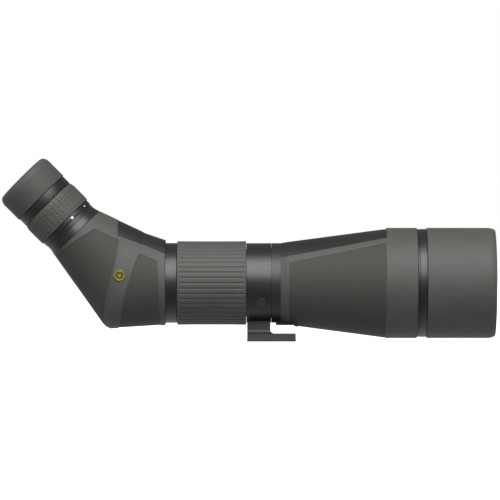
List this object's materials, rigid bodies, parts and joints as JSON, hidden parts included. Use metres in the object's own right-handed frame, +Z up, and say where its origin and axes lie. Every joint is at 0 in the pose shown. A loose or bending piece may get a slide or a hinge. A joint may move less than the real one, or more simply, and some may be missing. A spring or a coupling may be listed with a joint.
{
  "type": "angled spotting scope",
  "caption": "Angled spotting scope with a rotating tripod collar, sliding sunshade, ribbed focus ring, zoom ring and twist-up eyecup.",
  "frame": {"origin": "mouth of the tripod thread in the foot's flat underside", "axes": "+Z up, +X along the barrel towards the objective, +Y to the lock knob's side"},
  "size_m": [0.439, 0.099, 0.1632],
  "materials": {
    "armour_rubber": "matte moulded rubber armour, grey olive",
    "grip_rubber": "matte ribbed or dimpled rubber, grey olive",
    "eyecup_rubber": "soft matte rubber, grey olive",
    "black_metal": "satin black anodised",
    "foot_metal": "satin black anodised",
    "inner_metal": "matte black anodised inside",
    "screw_steel": "blackened steel",
    "pin_steel": "ground steel",
    "knob_plastic": "matte black moulded",
    "shoe_plastic": "plain nylon",
    "seal_rubber": "nitrile",
    "badge_gold": "gold-coloured plate with a plain ring",
    "mark_white": "white paint fill",
    "lens_glass": "coated optical glass"
  },
  "bodies": {
    "tripod_mount": {"tripod_collar": "black_metal", "tripod_foot": "foot_metal", "foot_screws": "screw_steel", "thread_insert": "screw_steel", "clamp_shoe": "shoe_plastic", "detent_cap": "foot_metal", "detent_spring": "pin_steel"},
    "detent_plunger": {"detent_ball": "pin_steel"},
    "collar_lock": {"lock_knob": "knob_plastic", "lock_stud": "screw_steel"},
    "scope_body": {"main_tube": "inner_metal", "neck_ring": "black_metal", "focus_o_rings": "seal_rubber", "barrel_armour": "armour_rubber", "barrel_shell": "black_metal", "barrel_baffles": "inner_metal", "objective_cell": "inner_metal", "objective_rear_lens": "lens_glass", "objective_front_lens": "lens_glass", "lens_spacer": "inner_metal", "objective_retainer": "inner_metal", "front_trim_ring": "black_metal", "hood_o_ring": "seal_rubber", "rear_armour": "armour_rubber", "prism_housing": "black_metal", "badge": "badge_gold", "purge_screw": "screw_steel", "roof_prism": "lens_glass", "prism_cage": "inner_metal", "prism_clamp": "screw_steel", "prism_screws": "screw_steel", "eyepiece_mount": "black_metal", "index_ring": "black_metal", "index_marks": "mark_white", "eyepiece_barrel": "inner_metal", "upper_ring": "black_metal", "field_stop": "inner_metal", "eye_lens_cell": "inner_metal", "eye_lens": "lens_glass"},
    "focus_control": {"focus_ring": "black_metal", "focus_grip": "grip_rubber"},
    "focus_group": {"focus_carriage": "inner_metal", "focusing_lens": "lens_glass", "focus_lens_retainer": "inner_metal", "focus_pin": "pin_steel"},
    "sunshade": {"hood_tube": "inner_metal", "hood_armour": "armour_rubber", "hood_guide_ring": "shoe_plastic"},
    "zoom_control": {"zoom_cam_sleeve": "inner_metal", "zoom_ring": "black_metal", "zoom_grip": "grip_rubber"},
    "front_zoom_group": {"front_group_cell": "inner_metal", "front_group_pin": "pin_steel", "front_group_lens": "lens_glass"},
    "rear_zoom_group": {"rear_group_cell": "inner_metal", "rear_group_pin": "pin_steel", "rear_group_lens": "lens_glass"},
    "eyecup_ring": {"eyecup_cam_ring": "inner_metal"},
    "eyecup": {"eyecup_sleeve": "inner_metal", "eyecup_rubber": "eyecup_rubber"}
  },
  "joints": [
    {"name": "collar_rotation", "type": "hinge", "parent": "tripod_mount", "child": "scope_body", "pos_m": [-0.0112, 0, 0.0517], "axis": [1, 0, 0], "continuous": true},
    {"name": "lock_knob_turn", "type": "hinge", "parent": "tripod_mount", "child": "collar_lock", "pos_m": [-0.0112, 0.0443, 0.0517], "axis": [0, 1, 0], "range_deg": [0, 270]},
    {"name": "detent_ball_travel", "type": "slide", "parent": "tripod_mount", "child": "detent_plunger", "axis": [0, -0.8788, -0.4772], "range_m": [0, 0.0003], "stiffness_N_per_m": 400, "springref_m": -0.001, "deforming": ["detent_spring"]},
    {"name": "focus_turn", "type": "hinge", "parent": "scope_body", "child": "focus_control", "pos_m": [-0.053, 0, 0.0517], "axis": [1, 0, 0], "range_deg": [-225, 225]},
    {"name": "focus_group_slide", "type": "slide", "parent": "scope_body", "child": "focus_group", "axis": [1, 0, 0], "range_m": [-0.005, 0.005]},
    {"name": "hood_slide", "type": "slide", "parent": "scope_body", "child": "sunshade", "axis": [1, 0, 0], "range_m": [0, 0.04]},
    {"name": "zoom_turn", "type": "hinge", "parent": "scope_body", "child": "zoom_control", "pos_m": [-0.19095, 0, 0.11379], "axis": [-0.7071, 0, 0.7071], "range_deg": [0, 120]},
    {"name": "front_zoom_slide", "type": "slide", "parent": "scope_body", "child": "front_zoom_group", "axis": [-0.7071, 0, 0.7071], "range_m": [0, 0.008]},
    {"name": "rear_zoom_slide", "type": "slide", "parent": "scope_body", "child": "rear_zoom_group", "axis": [-0.7071, 0, 0.7071], "range_m": [-0.006, 0]},
    {"name": "eyecup_twist", "type": "hinge", "parent": "scope_body", "child": "eyecup_ring", "pos_m": [-0.21075, 0, 0.13359], "axis": [-0.7071, 0, 0.7071], "range_deg": [0, 120]},
    {"name": "eyecup_lift", "type": "slide", "parent": "eyecup_ring", "child": "eyecup", "axis": [-0.7071, 0, 0.7071], "range_m": [0, 0.012]}
  ],
  "couplings": [
    {"joint": "focus_group_slide", "follows": "focus_turn", "m_per_rad": -0.0012732},
    {"joint": "front_zoom_slide", "follows": "zoom_turn", "m_per_rad": 0.0038197},
    {"joint": "rear_zoom_slide", "follows": "zoom_turn", "m_per_rad": -0.0028648},
    {"joint": "eyecup_lift", "follows": "eyecup_twist", "m_per_rad": 0.0057296}
  ]
}
